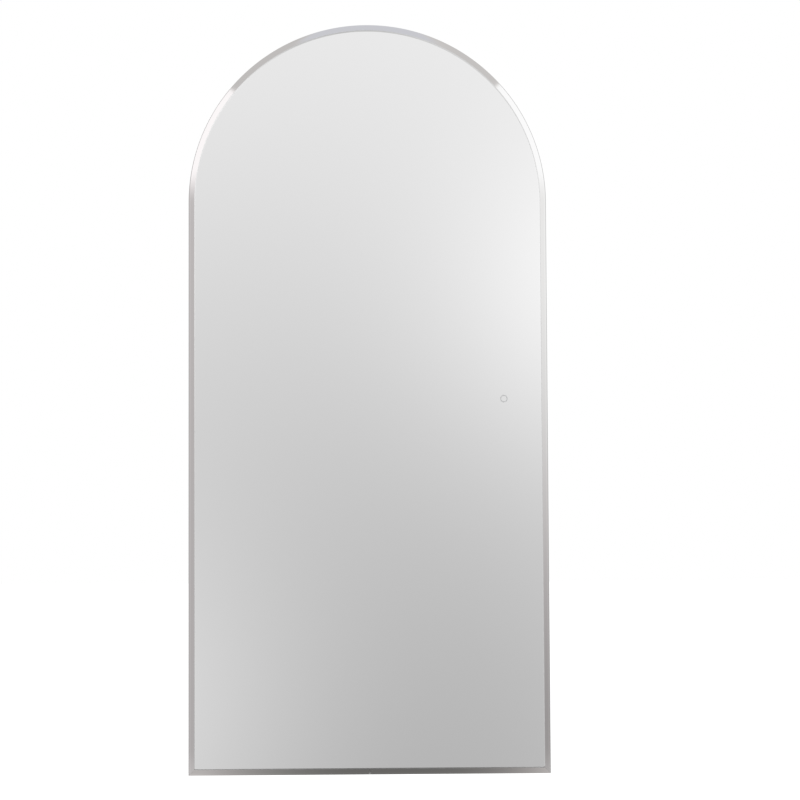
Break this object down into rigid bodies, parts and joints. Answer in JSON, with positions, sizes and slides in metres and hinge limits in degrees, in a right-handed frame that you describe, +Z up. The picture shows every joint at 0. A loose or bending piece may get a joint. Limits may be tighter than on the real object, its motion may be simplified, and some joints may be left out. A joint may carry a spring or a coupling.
{
  "type": "arched wall mirror lamp",
  "caption": "Arch-topped wall mirror in a thin polished metal frame with a touch switch, lit from behind round its rim, hung on a wall rail.",
  "frame": {"origin": "middle of the wall rail's row of screw holes, on the wall plane", "axes": "+X to the right seen from the front, +Z up, +Y into the wall; the mirror faces -Y"},
  "size_m": [0.598, 0.04, 1.25],
  "materials": {
    "frame_alloy": "polished and bright-dipped",
    "key_alloy": "die-cast",
    "grub_steel": "black oxide",
    "glazing_foam": "closed-cell foam",
    "silvered_glass": "polished, silvered",
    "ring_frost": "frosted grey",
    "safety_foil": "grey film",
    "white_foam": "foam tape",
    "zinc_sheet": "zinc-plated sheet",
    "zinc_fasteners": "zinc-plated",
    "channel_alloy": "extruded, satin",
    "strip_white": "white solder mask",
    "led_phosphor": "phosphor",
    "opal_plastic": "opal",
    "cover_paint": "pale grey powder coat",
    "black_rubber": "moulded",
    "block_plastic": "moulded",
    "terminal_brass": "plain",
    "case_plastic": "moulded white",
    "board_green": "solder mask",
    "component_black": "moulded",
    "white_lead": "flexible sheath",
    "earth_sleeve": "flexible sheath",
    "rail_steel": "zinc-plated rail"
  },
  "bodies": {
    "wall_rail": {"wall_rail": "rail_steel"},
    "lamp": {"frame_profile": "frame_alloy", "corner_keys": "key_alloy", "seam_key": "key_alloy", "key_grub_screws": "grub_steel", "glazing_tape": "glazing_foam", "mirror_glass": "silvered_glass", "touch_ring": "ring_frost", "safety_film": "safety_foil", "mounting_tape": "white_foam", "back_plate": "zinc_sheet", "housing_wall": "zinc_sheet", "retaining_plates": "zinc_sheet", "retaining_screws": "zinc_fasteners", "housing_rivets": "zinc_fasteners", "channel_rivets": "zinc_fasteners", "back_cover_screws": "zinc_fasteners", "terminal_block_screws": "zinc_fasteners", "earth_stud": "zinc_fasteners", "driver_screws": "zinc_fasteners", "hanger_screws": "zinc_fasteners", "bumper_screws": "zinc_fasteners", "cover_posts": "zinc_fasteners", "led_channel": "channel_alloy", "led_strip": "strip_white", "led_chips": "led_phosphor", "diffuser": "opal_plastic", "back_cover": "cover_paint", "mains_grommet": "black_rubber", "lead_bush": "black_rubber", "wall_bumpers": "black_rubber", "sensor_pad": "black_rubber", "terminal_block": "block_plastic", "lead_clips": "block_plastic", "terminal_screws": "terminal_brass", "earth_nuts": "terminal_brass", "earth_lug": "terminal_brass", "driver_case": "case_plastic", "driver_lid": "case_plastic", "sensor_case": "case_plastic", "sensor_lid": "case_plastic", "driver_board": "board_green", "sensor_board": "board_green", "driver_components": "component_black", "sensor_lead": "white_lead", "led_lead": "white_lead", "mains_lead": "white_lead", "earth_lead": "earth_sleeve", "hanger_rail": "rail_steel"}
  },
  "joints": [
    {"name": "lift_off", "type": "slide", "parent": "wall_rail", "child": "lamp", "axis": [0, 0, 1], "range_m": [0, 0.013]}
  ]
}
